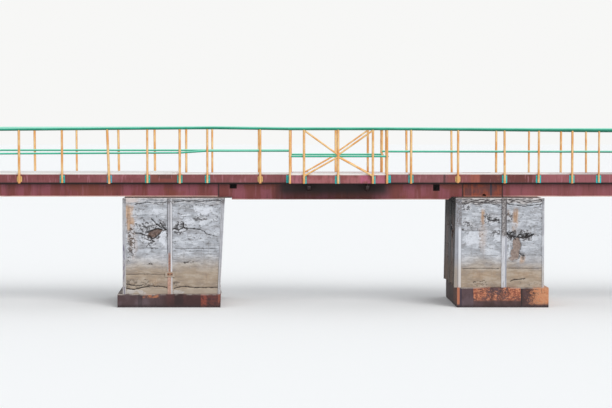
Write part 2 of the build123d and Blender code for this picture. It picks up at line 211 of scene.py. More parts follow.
def cloud(x, z, size, seed, octaves=4):
    # layers of lattice numbers blended by a smooth step, each half the size and weight of the last
    # and turned against it, so that no layer's own grid shows
    total, weight, reach = 0, 1.0, 0
    for k in range(octaves):
        turn = 0.5 + 1.3 * k
        across = x * math.cos(turn) + z * math.sin(turn)
        rise = z * math.cos(turn) - x * math.sin(turn)
        u, v = across / size * 2**k + 17.3 * k, rise / size * 2**k - 9.1 * k
        iu, iv = np.floor(u), np.floor(v)
        fu, fv = u - iu, v - iv
        fu, fv = fu * fu * (3 - 2 * fu), fv * fv * (3 - 2 * fv)
        low = lattice(iu, iv, seed + k) * (1 - fu) + lattice(iu + 1, iv, seed + k) * fu
        high = lattice(iu, iv + 1, seed + k) * (1 - fu) + lattice(iu + 1, iv + 1, seed + k) * fu
        total = total + weight * (low * (1 - fv) + high * fv)
        reach += weight
        weight /= 2
    return total / reach


def smooth(value, low, high):
    # 0 below low, 1 above high and a smooth step between, also with low above high
    t = np.clip((value - low) / (high - low), 0, 1)
    return t * t * (3 - 2 * t)


# Meshes

def gridFaces(rows, columns, closed):
    # each square of neighbours in a grid is a face, and with closed the columns go round
    index = np.arange(rows * columns).reshape(rows, columns)
    if closed:
        index = np.concatenate((index, index[:, :1]), axis=1)
    corners = (index[:-1, :-1], index[:-1, 1:], index[1:, 1:], index[1:, :-1])
    return np.stack(corners, axis=-1).reshape(-1, 4)


def meshFrom(name, vertices, quads, attributes=None, soft=False):
    # an object of the points and faces, with a number for each point under each attribute's name
    mesh = bpy.data.meshes.new(name)
    mesh.vertices.add(len(vertices))
    mesh.vertices.foreach_set("co", np.ascontiguousarray(vertices, dtype=np.float32).ravel())
    mesh.loops.add(quads.size)
    mesh.loops.foreach_set("vertex_index", quads.ravel().astype(np.int32))
    mesh.polygons.add(len(quads))
    starts = np.arange(0, quads.size, quads.shape[1], dtype=np.int32)
    mesh.polygons.foreach_set("loop_start", starts)
    mesh.polygons.foreach_set("use_smooth", np.full(len(quads), soft))
    mesh.update(calc_edges=True)
    for key, values in (attributes or {}).items():
        layer = mesh.attributes.new(key, "FLOAT", "POINT")
        layer.data.foreach_set("value", np.ascontiguousarray(values, dtype=np.float32).ravel())
    mesh.validate()
    piece = bpy.data.objects.new(name, mesh)
    bpy.context.scene.collection.objects.link(piece)
    return piece


def gridMesh(name, points, closed=False, attributes=None, soft=False):
    # points is rows by columns by 3
    faces = gridFaces(*points.shape[:2], closed)
    return meshFrom(name, points.reshape(-1, 3), faces, attributes, soft)


def joined(parts):
    # several meshes as one, each given as its points, its faces and a number for its points
    starts = np.cumsum([0] + [len(points) for points, _, _ in parts])
    vertices = np.concatenate([points for points, _, _ in parts])
    quads = np.concatenate([faces + start for (_, faces, _), start in zip(parts, starts)])
    numbers = np.concatenate([np.broadcast_to(number, len(points)) for points, _, number in parts])
    return vertices, quads, numbers


def dress(piece, material, slot, *replaced):
    # a piece's material, what it rides on, its slot, which is not used, and the CAD nodes that it
    # takes the place of
    piece.data.materials.append(material)
    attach(piece, "root")
    if replaced:
        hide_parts(*replaced)


# Piers: the concrete as a rough surface with the damage that shows

pierPitch = 7.8  # from an inner pier to the outer one beside it
angleLean = 0.0526  # metres that the left piers' right-hand edge goes right for each metre up
pierLook = {
    "step": 0.0125,  # distance between points on the faces in front
    "rise": 0.0145,
    "backStep": 0.022,
    "backRise": 0.024,
    "skin": 0.008,  # how far the concrete stands back from the steel straps
    "sheet": 0.012,  # steel of the base
    "leg": 0.11,
    "baseHalf": 1.225,
    "half": 1.15,
    "edge": 0.03,  # how soon the damage is full beside a corner
    "lift": 0.009,  # depth of the lines between the lifts
    "crack": 0.022,
    "crumble": 0.014,
    "rough": 0.006,
    "warp": 0.030,  # how far clouds bend the marks
    "lineWarp": 0.012,
}
paintedMarks = ("raw", "cut", "ochre", "soot", "white")
# Marks on a front face, in metres: lines between lifts (from, to, height, strength), cracks
# (half width, then x and z of each point), hollows (x, z, half width, half height, tilt, depth,
# and 1 where their bare brown inside shows) and stains (from x, to x, from z, to z, strength)
marks = {
    "left": {
        "foot": (-5.062, -2.745), "top": (-5.058, -2.625), "skew": -0.12, "high": 0.31,
        "base": (-5.18, -2.734),
        "lines": [
            (-4.99, -3.97, 2.187, 0.7), (-3.72, -2.81, 2.149, 0.6), (-4.62, -4.18, 1.4, 1.0),
            (-3.84, -2.78, 1.389, 0.9), (-3.62, -2.78, 1.335, 0.95), (-5.05, -4.0, 0.931, 0.5),
            (-5.05, -4.0, 0.782, 0.9), (-3.85, -2.85, 0.87, 0.3), (-4.9, -3.0, 2.35, 0.3),
            (-4.85, -4.1, 1.07, 0.25), (-3.8, -2.9, 1.1, 0.25),
        ],
        "cracks": [
            (0.014, -4.75, 1.765, -4.57, 1.726, -4.44, 1.69, -4.37, 1.63),
            (0.017, -4.47, 1.777, -4.367, 1.829, -4.244, 1.87, -4.142, 1.848),
            (0.017, -4.428, 1.697, -4.367, 1.623, -4.265, 1.676, -4.172, 1.747),
            (0.012, -4.369, 2.114, -4.3, 2.03, -4.187, 1.931),
            (0.013, -4.24, 1.97, -4.14, 1.9, -4.02, 1.84),
            (0.016, -3.843, 1.87, -3.72, 1.83, -3.62, 1.91, -3.6, 2.0),
            (0.011, -3.644, 1.887, -3.42, 1.875, -3.208, 1.85),
            (0.008, -3.2, 1.85, -3.05, 1.74, -2.86, 1.68),
            (0.013, -5.04, 0.44, -4.8, 0.41, -4.62, 0.47,
             -4.43, 0.498, -4.23, 0.5, -4.12, 0.483, -4.0, 0.46),
            (0.011, -3.84, 0.44, -3.69, 0.475, -3.6, 0.492, -3.46, 0.478, -3.3, 0.46, -2.8, 0.475),
            (0.009, -4.98, 0.55, -4.75, 0.5, -4.58, 0.53),
            (0.009, -4.76, 2.44, -4.5, 2.49, -4.25, 2.475, -4.02, 2.5),
            (0.011, -3.84, 2.5, -3.5, 2.53, -3.2, 2.52, -2.9, 2.54, -2.72, 2.53),
            (0.012, -4.6, 1.98, -4.5, 1.9, -4.4, 1.93),
            (0.012, -4.16, 2.02, -4.1, 1.92, -4.03, 1.86),
            (0.01, -4.55, 1.62, -4.4, 1.6, -4.3, 1.56),
        ],
        "hollows": [
            (-4.3, 1.765, 0.17, 0.09, 0.35, 0.05, 1), (-4.57, 1.8, 0.14, 0.06, -0.1, 0.018, 0),
            (-4.4, 1.67, 0.08, 0.045, 0.2, 0.045, 0), (-4.2, 1.93, 0.1, 0.05, -0.3, 0.016, 0),
            (-3.76, 1.9, 0.09, 0.06, 0.2, 0.03, 0), (-4.4, 1.026, 0.05, 0.02, 0.0, 0.02, 0),
            (-3.53, 1.075, 0.1, 0.018, 0.0, 0.014, 0), (-4.07, 1.84, 0.07, 0.08, 0.0, 0.03, 0),
        ],
        "ochre": [
            (-5.06, -4.8, 2.0, 2.48, 1.0), (-5.02, -4.73, 1.74, 2.22, 1.0),
            (-4.97, -4.72, 1.2, 1.95, 0.75), (-4.98, -4.72, 0.6, 0.75, 0.2),
            (-4.55, -4.1, 0.5, 0.72, 0.35), (-3.2, -2.9, 0.55, 0.9, 0.25),
        ],
        "soot": [
            (-4.95, -4.74, 1.1, 1.86, 0.6), (-4.48, -4.36, 1.0, 1.06, 0.8),
            (-3.64, -3.36, 1.05, 1.1, 0.75), (-4.66, -4.03, 1.52, 2.04, 0.85),
            (-3.85, -3.5, 1.78, 2.05, 0.75), (-3.8, -2.85, 2.36, 2.47, 0.45),
            (-4.9, -4.1, 2.36, 2.44, 0.35), (-3.0, -2.8, 1.9, 2.3, 0.35),
            (-4.24, -4.0, 1.74, 2.04, 1.0), (-4.6, -4.3, 1.72, 1.84, 0.7),
            (-4.55, -4.1, 1.38, 1.6, 0.45), (-3.3, -2.85, 1.62, 1.8, 0.35),
            (-3.4, -3.05, 2.05, 2.15, 0.6), (-3.86, -3.7, 0.45, 0.62, 0.55),
            (-5.03, -4.35, 0.44, 0.68, 0.5), (-4.5, -4.1, 0.5, 0.6, 0.3),
        ],
        "white": [
            (-4.7, -4.1, 2.2, 2.33, 0.6), (-3.68, -3.45, 2.18, 2.22, 0.9),
            (-3.35, -2.9, 2.18, 2.4, 0.8), (-3.6, -3.32, 1.98, 2.12, 0.7),
            (-3.25, -3.0, 1.98, 2.07, 0.7), (-3.72, -3.62, 1.8, 1.87, 0.9),
            (-4.18, -4.02, 1.5, 1.8, 0.8), (-4.22, -4.0, 1.86, 1.92, 0.8),
            (-5.03, -4.5, 2.5, 2.56, 0.8), (-4.75, -4.2, 2.02, 2.15, 0.4),
            (-5.04, -4.55, 0.31, 0.42, 0.8), (-3.9, -3.6, 0.31, 0.4, 0.7),
        ],
    },
    "right": {
        "foot": (2.816, 4.953), "top": (2.852, 4.953), "skew": -0.05, "high": 0.47,
        "base": (2.883, 5.056),
        "lines": [
            (2.95, 3.9, 2.187, 0.5), (4.35, 4.94, 1.896, 0.6), (2.98, 3.55, 1.815, 0.9),
            (3.4, 3.9, 1.226, 0.7), (4.5, 4.94, 1.226, 0.6), (2.98, 3.92, 0.917, 0.95),
            (4.07, 4.9, 0.925, 0.9), (4.1, 4.9, 2.19, 0.35), (3.0, 3.9, 2.02, 0.3),
            (3.0, 3.9, 1.55, 0.25), (4.4, 4.9, 1.55, 0.25), (4.1, 4.9, 0.7, 0.3),
        ],
        "cracks": [
            (0.018, 4.06, 1.75, 4.16, 1.68, 4.3, 1.66, 4.45, 1.63, 4.6, 1.68, 4.7, 1.74),
            (0.012, 4.14, 1.73, 4.22, 1.65, 4.28, 1.6), (0.012, 4.35, 1.74, 4.47, 1.67, 4.66, 1.7),
            (0.014, 4.375, 1.28, 4.45, 1.23, 4.5, 1.215),
            (0.006, 3.28, 0.6, 3.37, 0.618, 3.44, 0.6, 3.53, 0.635),
            (0.01, 4.16, 0.62, 4.3, 0.655, 4.5, 0.68), (0.01, 3.6, 2.1, 3.75, 2.04, 3.88, 2.08),
            (0.009, 2.96, 2.46, 3.3, 2.5, 3.6, 2.47, 3.9, 2.42),
            (0.01, 4.1, 2.45, 4.5, 2.4, 4.93, 2.47),
        ],
        "hollows": [
            (4.16, 1.7, 0.12, 0.08, -0.1, 0.05, 0), (4.47, 1.69, 0.19, 0.065, 0.1, 0.045, 0),
            (4.31, 1.48, 0.11, 0.18, -0.2, 0.03, 1), (4.27, 1.28, 0.12, 0.15, 0.0, 0.03, 1),
            (4.43, 1.25, 0.055, 0.035, -0.3, 0.025, 0), (4.2, 1.15, 0.08, 0.05, 0.0, 0.02, 1),
            (3.72, 2.1, 0.12, 0.05, -0.2, 0.014, 0), (3.42, 0.525, 0.1, 0.035, 0.0, 0.018, 0),
            (4.45, 1.16, 0.05, 0.04, 0, 0.015, 1),
        ],
        "ochre": [
            (3.44, 3.56, 1.98, 2.38, 1.0), (4.17, 4.34, 1.9, 2.34, 1.0),
            (4.02, 4.18, 2.06, 2.4, 0.7), (3.36, 3.62, 1.1, 2.1, 0.45),
            (4.15, 4.3, 1.72, 2.05, 0.45), (4.36, 4.52, 1.02, 1.25, 0.7),
            (3.0, 3.9, 0.62, 0.9, 0.35), (4.1, 4.85, 0.66, 0.88, 0.35),
        ],
        "soot": [
            (4.06, 4.74, 1.58, 1.82, 0.95), (3.52, 3.92, 2.02, 2.2, 0.8),
            (4.06, 4.2, 2.05, 2.3, 0.6), (2.98, 3.2, 2.3, 2.5, 0.7), (3.0, 3.35, 1.9, 2.06, 0.55),
            (3.72, 3.92, 1.6, 1.82, 0.6), (2.96, 3.3, 1.78, 1.95, 0.45),
            (4.86, 4.95, 1.9, 2.3, 0.5), (3.8, 3.93, 1.75, 2.2, 0.35), (4.4, 4.9, 0.5, 0.62, 0.35),
            (3.2, 3.7, 0.5, 0.62, 0.4),
        ],
        "white": [
            (3.0, 3.42, 1.5, 1.8, 0.7), (3.75, 3.92, 1.55, 1.75, 0.8), (4.08, 4.5, 1.93, 2.02, 0.5),
            (4.6, 4.94, 1.3, 1.86, 0.45), (4.25, 4.33, 1.58, 1.72, 0.9), (3.1, 3.5, 2.2, 2.38, 0.4),
            (4.35, 4.85, 2.25, 2.38, 0.4), (4.1, 4.15, 1.2, 1.58, 0.7),
        ],
    },
}


def hollowField(x, z, spots):
    # deepest of the ovals at each point: each is deep inside and fades towards its rim
    depth = np.zeros_like(x)
    for cx, cz, halfX, halfZ, tilt, deep, _ in spots:
        dx, dz = x - cx, z - cz - tilt * (x - cx)
        away = np.sqrt((dx / halfX) ** 2 + (dz / halfZ) ** 2)
        depth = np.maximum(depth, deep * smooth(away, 1.15, 0.75))
    return depth


def lineField(x, z, lines, half):
    # nearness to level lines, from 0 to 1, each fading in and out at its ends
    near = np.zeros_like(x)
    for start, end, height, strength in lines:
        along = smooth(x, start - 0.04, start + 0.06) * smooth(x, end + 0.04, end - 0.06)
        near = np.maximum(near, strength * along * smooth(abs(z - height), half, half * 0.3))
    return near


def crackField(x, z, cracks):
    # nearness to bent lines: the least distance to any of their straight stretches
    near = np.zeros_like(x)
    for half, *path in cracks:
        for ax, az, bx, bz in zip(path[0::2], path[1::2], path[2::2], path[3::2]):
            ux, uz = bx - ax, bz - az
            t = np.clip(((x - ax) * ux + (z - az) * uz) / (ux * ux + uz * uz), 0, 1)
            away = np.hypot(x - ax - t * ux, z - az - t * uz)
            near = np.maximum(near, smooth(away, half * 1.5, half * 0.4))
    return near


def patchField(x, z, patches, seed, tall=1.0, core=0.7):
    # ovals that fill the rectangles, 1 inside core of their size and fading out, their rims pushed
    # in and out by two sizes of cloud, tall times as high as wide, times their strength
    near = np.zeros_like(x)
    push = 1.1 * (cloud(x, z / tall, 0.16, seed + 3) - 0.5)
    push = push + 0.7 * (cloud(x, z / tall, 0.05, seed + 4, 3) - 0.5)
    for left, right, low, high, strength in patches:
        u = (x - (left + right) / 2) / (right - left) * 2
        v = (z - (low + high) / 2) / (high - low) * 2
        away = (np.abs(u) ** 3 + np.abs(v) ** 3) ** (1 / 3)
        near = np.maximum(near, strength * smooth(away + push, 1.35, core))
    return near


def faceFields(x, z, mark, seed):
    # Depth and stains of one face at points x, z of the face that they are drawn on. Clouds bend
    # the marks, and the depth is the deepest hollow roughened, plus lines, cracks, lumps and the
    # crumbled edge at the head.
    look = pierLook
    wx = x + look["warp"] * (cloud(x, z, 0.10, seed) - 0.5) * 2
    wz = z + look["warp"] * (cloud(x, z, 0.13, seed + 5) - 0.5) * 2
    lz = z + look["lineWarp"] * (cloud(x, z * 0.2, 0.30, seed + 9) - 0.5) * 2
    hollow = hollowField(wx, wz, mark["hollows"])
    brown = hollowField(wx, wz, [spot for spot in mark["hollows"] if spot[-1]])
    raw = smooth(brown, 0.012, 0.022)
    line = lineField(x, lz, mark["lines"], 0.014)
    uneven = 0.016 * (cloud(x, z, 0.04, seed + 12, 3) - 0.5)
    crack = crackField(wx * 0.6 + x * 0.4 + uneven, wz * 0.6 + z * 0.4 + uneven, mark["cracks"])
    rim = smooth(hollow, 0.002, 0.007) * smooth(hollow, 0.020, 0.012)
    rim = rim * smooth(cloud(x, z, 0.07, seed + 14), 0.3, 0.5)
    pit = smooth(hollow, 0.026, 0.036) * smooth(cloud(x * 1.3, z, 0.05, seed + 16, 3), 0.42, 0.56)
    pit = pit * (1 - raw)
    crumble = smooth(z, 2.42, 2.56) * smooth(cloud(x * 0.35, z, 0.07, seed + 40), 0.48, 0.72)
    lumps = cloud(x, z, 0.22, seed + 20, 5) + 0.5 * cloud(x * 0.25, z, 0.05, seed + 30, 3)
    depth = hollow * (0.6 + 0.8 * cloud(x, z, 0.05, seed + 2)) + look["lift"] * line
    depth = depth + look["crack"] * crack + look["rough"] * lumps + look["crumble"] * crumble
    return {
        "depth": depth,
        "raw": raw,
        "cut": np.max((crack, line * 0.85, crumble * 0.3, rim * 0.75, pit), axis=0),
        "ochre": patchField(x, z, mark["ochre"], seed, 3.0, 0.1),
        "soot": patchField(wx, wz, mark["soot"], seed + 50),
        "white": patchField(wx, wz, mark["white"], seed + 70),
    }


def cornersOf(left, right, half, skew):
    # corners of a rectangle whose back is shifted by skew, from the front left and round to it
    return ((left, -half), (right, -half), (right + skew, half), (left + skew, half), (left, -half))


def ringAt(left, right, half, skew, z, counts):
    # points evenly spaced along the four sides of that rectangle
    corners = np.array(cornersOf(left, right, half, skew))
    flat = np.concatenate([
        a + (b - a) * (np.arange(n) / n)[:, None] for a, b, n in zip(corners, corners[1:], counts)])
    return np.concatenate((flat, np.full((len(flat), 1), z)), axis=1)


def pierShell(name, mark, shift, fine, seed):
    # Round the four faces at each height and up from foot to head, then in to the middle of the
    # top: the corner points follow the lean and the skew, and each point goes in by its depth.
    # Below the faces the rings narrow to the neck of the steel base and widen to fill it.
    look, foot, top = pierLook, mark["foot"], mark["top"]
    skin, half, high, skew = look["skin"], look["half"], mark["high"], mark["skew"]
    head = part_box("concrete_inner_left")[1][2]
    zs = np.linspace(high, head, int((head - high) / look["rise" if fine else "backRise"]))[:, None]
    t = (zs - high) / (head - high)
    left = foot[0] + (top[0] - foot[0]) * t + skin
    right = foot[1] + (top[1] - foot[1]) * t - skin
    corners = cornersOf(left, right, half - skin, skew)
    other = marks["right" if mark is marks["left"] else "left"]
    columns, faces = [], []
    for side, inward in enumerate(((0, 1), (-1, 0), (0, -1), (1, 0))):
        # the front and back carry this pier's marks and the ends the other's; the back and the
        # second end carry them turned round
        (ax, ay), (bx, by) = corners[side:side + 2]
        across = 2 * half if side % 2 else foot[1] - foot[0]
        count = int(across / look["backStep" if side or not fine else "step"])
        s = np.arange(count) / count + 0 * left
        x, y, z = ax + (bx - ax) * s, ay + (by - ay) * s, zs + 0 * s
        shown = other if side % 2 else mark
        start, stop = shown["foot"]
        seen = start + (stop - start) * (1 - s if side > 1 else s) if side else x
        face = faceFields(seen, z, shown, seed + 100 * side)
        depth = face["depth"] * smooth(np.minimum(s, 1 - s) * across, 0.0, look["edge"])
        columns.append(np.stack((x + inward[0] * depth, y + inward[1] * depth, z), axis=-1))
        faces.append(face)
    wall = np.concatenate(columns, axis=1)
    middle = wall[-1].mean(axis=0)
    cover = [middle + (wall[-1] - middle) * size for size in (0.96, 0.6, 0.25, 0.0)]
    counts = [column.shape[1] for column in columns]
    sheet, leg, (baseLeft, baseRight) = look["sheet"], look["leg"], mark["base"]
    box = (baseLeft + sheet, baseRight - sheet, look["baseHalf"] - sheet, skew)
    neck = (max(foot[0], baseLeft) + leg, foot[1] - leg, half - leg, skew)
    bottom = ringAt(*box, 0.0, counts)
    under = [bottom * 0 + bottom.mean(axis=0), bottom, ringAt(*box, high - sheet, counts),
             ringAt(*neck, high - sheet, counts), ringAt(*neck, high, counts)]
    points = np.concatenate((under, wall, cover))
    points[..., 0] += shift
    blank = ((len(under), len(cover)), (0, 0))
    values = {
        key: np.pad(np.concatenate([face[key] for face in faces], axis=1), blank)
        for key in paintedMarks
    }
    return gridMesh("rough_" + name, points, True, values, soft=True)


def concreteFinish():
    # whitish grey above and tan below, in level streaks from the boards of its mould, with runs of
    # grime, crumbled speckle, flakes of whitewash, ochre stains and dark cracks
    m = Finish("concrete")
    raw, cut, ochre, soot, white = (m.attribute(name) for name in paintedMarks)
    broad = m.noise(0.40, 5)
    middle = m.noise(0.12, 5, shift=5, roughness=0.65)
    fine = m.noise(0.035, 5, shift=3, roughness=0.65)
    speck = m.noise(0.055, 3, level=1.3, shift=9, roughness=0.7)
    streaks = m.noise(0.026, 4, level=5, shift=7)
    wide = m.noise(0.10, 5, level=3, shift=13)
    runs = m.noise(0.05, 4, tall=9, shift=11)
    low = (m.z + broad.sway(0.30) + wide.sway(0.12)).ramp(1.34, 0.78)
    rough = 1 - low * 0.7
    m.colour = broad.shade(0.38, 0.62, (178, 181, 187), (200, 203, 210))
    m.lay(
        (low, wide.shade(0.35, 0.65, (184, 167, 148), (166, 146, 126))),
        (wide.ramp(0.52, 0.64) * rough * 0.6, (148, 146, 148)),
        (wide.ramp(0.47, 0.38) * 0.6, m.mix(low, (230, 233, 239), (192, 178, 162))),
        (streaks.ramp(0.56, 0.68) * rough * 0.75, (110, 106, 106)),
        (streaks.ramp(0.45, 0.33) * 0.45, m.mix(low, (234, 236, 241), (196, 184, 170))),
        (runs.ramp(0.58, 0.72) * 0.35, (134, 126, 122)),
        (fine.ramp(0.60, 0.74) * rough * 0.65, (92, 87, 86)),
    )
    pits = (speck + middle.sway(0.5)).ramp(0.60, 0.68) * m.z.ramp(1.2, 1.7)
    m.lay((pits * 0.75, (84, 79, 78)))
    ragged = middle.sway(0.6) + fine.sway(0.6) + streaks.sway(0.4)
    stain = (runs + fine.sway(0.4)).shade(0.38, 0.62, (216, 170, 122), (166, 128, 98))
    stained = (ochre * (0.2 + 1.4 * runs) + 0.8 * ragged * ochre).ramp(0.0, 1.0)
    m.lay((stained * 0.85, stain))
    bare = fine.shade(0.35, 0.65, (96, 76, 68), (132, 108, 96))
    paler = fine.shade(0.35, 0.65, (134, 114, 104), (166, 146, 134))
    bare = m.mix(m.pierX().ramp(0, 1), bare, paler)
    flakes = m.mix(low, m.mix(fine, (176, 174, 176), (240, 242, 248)), (186, 174, 160))
    chips = speck.shade(0.47, 0.54, m.mix(low, (58, 52, 50), (104, 94, 86)), flakes)
    m.lay(
        ((soot + ragged * 1.4).ramp(0.30, 0.60) * 0.8, chips),
        ((white * (0.6 + 0.8 * streaks) + ragged * 1.5).ramp(0.42, 0.80) * 0.8, (234, 237, 244)),
    )
    head = (m.z + broad.sway(0.14) + wide.sway(0.20)).ramp(2.42, 2.50)
    marble = streaks.shade(0.44, 0.54, (206, 200, 198), (72, 64, 62))
    m.lay((head * (0.4 + 0.5 * m.pierX().ramp(0, 1)), marble), (raw * 0.92, bare))
    # the lighter strip below the break at the left piers' foot, and the clean one at their head
    foot = (m.z + wide.sway(0.05)).ramp(0.47, 0.42) * m.pierX().ramp(0, -1)
    m.lay((foot * 0.6, (184, 170, 154)))
    ledge = (m.z + fine.sway(0.05)).ramp(2.485, 2.51) * m.pierX().ramp(-4.60, -4.80)
    m.lay(
        (ledge * 0.85, (226, 212, 206)),
        ((cut * (0.6 + 0.9 * fine)).ramp(0.3, 0.8) * 0.9, (46, 41, 40)),
        # painted light on the top's upward faces
        (m.upward.ramp(0.5, 0.9) * m.z.ramp(2.5, 2.56), (226, 214, 210)),
    )
    # painted shade on the dark end faces towards minus x, with three paler strips, and painted
    # shadow from the deck, black near the head
    shadedEnd = m.rightward.ramp(-0.5, -0.8)
    shadedEndColour = m.mix(low, (38, 34, 34), (70, 62, 56))
    for place in (0.63, -0.44):
        shadedEndColour = m.mix(m.y.band(place, 0.18, 0.12) * (0.4 + runs), shadedEndColour, (98, 76, 66))
    shadedEndColour = m.mix(m.y.ramp(0.80, 1.05) * (0.3 + 0.6 * runs), shadedEndColour, (120, 104, 98))
    above = (m.z + broad.sway(0.3)).ramp(1.75, 2.35)
    shadedEndColour = m.mix(above * 0.95, shadedEndColour, (14, 11, 11))
    m.lay((shadedEnd * (0.82 + runs.sway(0.4) + 0.16 * above).min(0.98), shadedEndColour))
    relief = fine + 0.7 * streaks + 0.5 * middle
    return m.finish(0.9, height=relief, strength=0.5, depth=0.006)


concrete = concreteFinish()
for name, key, shift, fine, seed in (
    ("inner_left", "left", 0, True, 3), ("inner_right", "right", 0, True, 31),
    ("outer_left", "left", -pierPitch, False, 57), ("outer_right", "right", pierPitch, False, 83),
):
    node = "concrete_" + name
    dress(pierShell(node, marks[key], shift, fine, seed), concrete, "concrete", node)
print("stage: concrete")


# Paint and rust on the steel

girderLook = {
    "joints": (-2.795, 3.048, 3.995),  # dark seams between the lengths
    "middle": (-2.795, 3.05),  # ends of the deeper middle length
    "foot": 2.628,  # top of the lower flange
    "middleFoot": 2.558,  # the same on the middle length
    "head": 2.95,  # top of the girders
}


def giveFinish(material, *starts):
    # every CAD node whose name starts so gets this material
    for name, node in nodes.items():
        if name.startswith(starts):
            node.data.materials.clear()
            node.data.materials.append(material)


def beamFinish():
    # dark red paint gone mauve in patches, with rust runs down from the top of each piece
    look, m = girderLook, Finish("beamPaint")
    broad = m.noise(0.9, 4, tall=0.6)
    runs = m.noise(0.06, 4, tall=9, shift=5)
    wide = m.noise(0.26, 3, tall=6, shift=9)
    fine = m.noise(0.022, 4, shift=2)
    m.colour = wide.shade(0.40, 0.60, (122, 58, 54), (144, 76, 86))
    m.lay(
        (broad.ramp(0.50, 0.60) * (0.75 - 0.55 * m.x.ramp(3.6, 4.4)), (126, 64, 50)),
        (m.x.ramp(3.9, 4.6) * 0.5, (152, 86, 90)),
        (runs.ramp(0.54, 0.74) * 0.45, (84, 48, 46)),
        (runs.ramp(0.44, 0.30) * 0.35, (160, 106, 112)),
        (fine.ramp(0.62, 0.75) * 0.4, (74, 42, 38)),
    )
    # a painted highlight along the top of each lower flange
    start, stop = look["middle"]
    beside = m.x.ramp(start + 0.005, start - 0.005).max(m.x.ramp(stop - 0.005, stop + 0.005))
    flange = m.z.band(look["middleFoot"], 0.007, 0.006) * (1 - beside) * 0.6
    flange = m.z.band(look["foot"], 0.008, 0.006) * beside + flange
    m.lay((flange * (0.4 + 0.5 * broad.ramp(0.35, 0.5)), (222, 184, 172)))
    # painted shade under the edge of the deck and painted shadow under the bay, and the dark seams
    girder = m.z.ramp(look["head"] + 0.002, look["head"] - 0.002)
    under = m.z.ramp(2.895, 2.925) * girder
    bayShade = m.x.between(-1.20, 1.12, 0.35) * (m.z + wide.sway(0.05)).ramp(2.47, 2.80)
    m.lay((under.max(bayShade * girder) * 0.93, (18, 12, 12)))
    for place in look["joints"]:
        m.lay((m.x.band(place, 0.012, 0.012) * girder * 0.8, (24, 18, 18)))
    # painted shade, black, on the far girder's inner side under the deck, which shows through the
    # holes
    m.lay((m.y.ramp(0.4, 0.6) * m.backward.ramp(-0.4, -0.8) * 0.95, (12, 9, 9)))
    return m.finish(0.6, height=fine + runs, strength=0.25, depth=0.003)


# Colours along the edge channel: from x, to x, colour, strength
edgeColours = (
    (-14.0, -5.6, (122, 60, 62), 0.5), (-4.36, -3.80, (124, 62, 48), 0.8),
    (-3.6, -1.3, (134, 74, 74), 0.5), (1.4, 3.2, (140, 88, 90), 0.5),
    (2.58, 2.62, (66, 40, 40), 0.8), (3.24, 3.44, (172, 92, 60), 0.6),
    (2.7, 3.2, (144, 76, 70), 0.6), (3.47, 3.98, (94, 40, 34), 0.85),
    (4.12, 4.66, (94, 38, 30), 0.85), (4.8, 14.0, (160, 92, 98), 0.75),
)


def edgeFinish():
    # the deck's edge channels: pinker than the girders, darker where the deck drips
    m = Finish("edgePaint")
    broad = m.noise(0.5, 4, tall=0.7, shift=3)
    runs = m.noise(0.045, 4, tall=8, shift=5)
    fine = m.noise(0.02, 4, shift=2)
    m.colour = broad.shade(0.4, 0.6, (128, 66, 68), (146, 84, 88))
    for start, stop, tint, strength in edgeColours:
        soft = min(0.06, (stop - start) / 4)
        m.lay(((m.x + fine.sway(0.04)).between(start, stop, soft) * strength, tint))
    drips = m.x.between(-4.22, -3.90, 0.03) * (m.z + runs.sway(0.06)).ramp(3.03, 3.07)
    m.lay(
        (drips * 0.6, (84, 50, 44)),
        (runs.ramp(0.56, 0.72) * 0.45, (88, 50, 46)),
        (runs.ramp(0.43, 0.32) * 0.5, (186, 124, 134)),
        (broad.ramp(0.62, 0.70) * runs.ramp(0.45, 0.6) * 0.5, (160, 98, 72)),
        # painted shade along the channel's lower edge
        ((m.z + fine.sway(0.02)).ramp(2.975, 2.955) * 0.75, (50, 30, 28)),
    )
    return m.finish(0.55, height=fine + runs, strength=0.25, depth=0.003)


def linkFinish():
    # the short length at the hinge, rusted through its paint
    m = Finish("linkRust")
    runs = m.noise(0.05, 4, tall=8, shift=4)
    broad = m.noise(0.22, 4, shift=8)
    fine = m.noise(0.02, 4, shift=1)
    m.colour = broad.shade(0.4, 0.6, (146, 74, 54), (116, 66, 62))
    m.lay(
        (runs.ramp(0.52, 0.66) * 0.7, (84, 54, 56)),
        (runs.ramp(0.44, 0.32) * 0.6, (186, 98, 60)),
        (fine.ramp(0.60, 0.75) * 0.5, (60, 36, 32)),
        (m.x.between(3.70, 3.745, 0.015) * 0.8, (58, 58, 70)),
        # painted shade under the edge of the deck, and a painted highlight along the lower flange
        (m.z.ramp(2.895, 2.925) * 0.93, (18, 12, 12)),
        (m.z.band(girderLook["foot"], 0.008, 0.006) * 0.4, (206, 150, 130)),
    )
    for place in girderLook["joints"]:
        m.lay((m.x.band(place, 0.012, 0.012) * 0.8, (24, 18, 18)))
    return m.finish(0.75, height=fine + runs, strength=0.4, depth=0.004)


def bayFinish():
    # the bay's frame, mottled red and pink
    m = Finish("bayPaint")
    broad = m.noise(0.22, 5)
    runs = m.noise(0.045, 4, tall=6, shift=6)
    fine = m.noise(0.02, 4, shift=2)
    m.colour = broad.shade(0.40, 0.60, (144, 76, 76), (166, 98, 100))
    m.lay(
        (m.x.between(0.60, 0.78, 0.05) * broad.ramp(0.35, 0.5) * 0.8, (190, 96, 128)),
        (m.x.between(-1.05, -0.82, 0.03) * 0.5, (182, 112, 128)),
        (m.x.between(0.94, 1.13, 0.04) * broad.ramp(0.35, 0.5) * 0.6, (190, 104, 128)),
        (runs.ramp(0.55, 0.7) * 0.6, (104, 58, 52)),
        (runs.ramp(0.42, 0.32) * 0.5, (190, 122, 120)),
        (fine.ramp(0.62, 0.74) * 0.3, (196, 170, 176)),
        # painted shade along the frame's lower edge
        (m.z.ramp(2.972, 2.955) * 0.7, (50, 28, 28)),
    )
    return m.finish(0.55, height=fine, strength=0.2, depth=0.002)


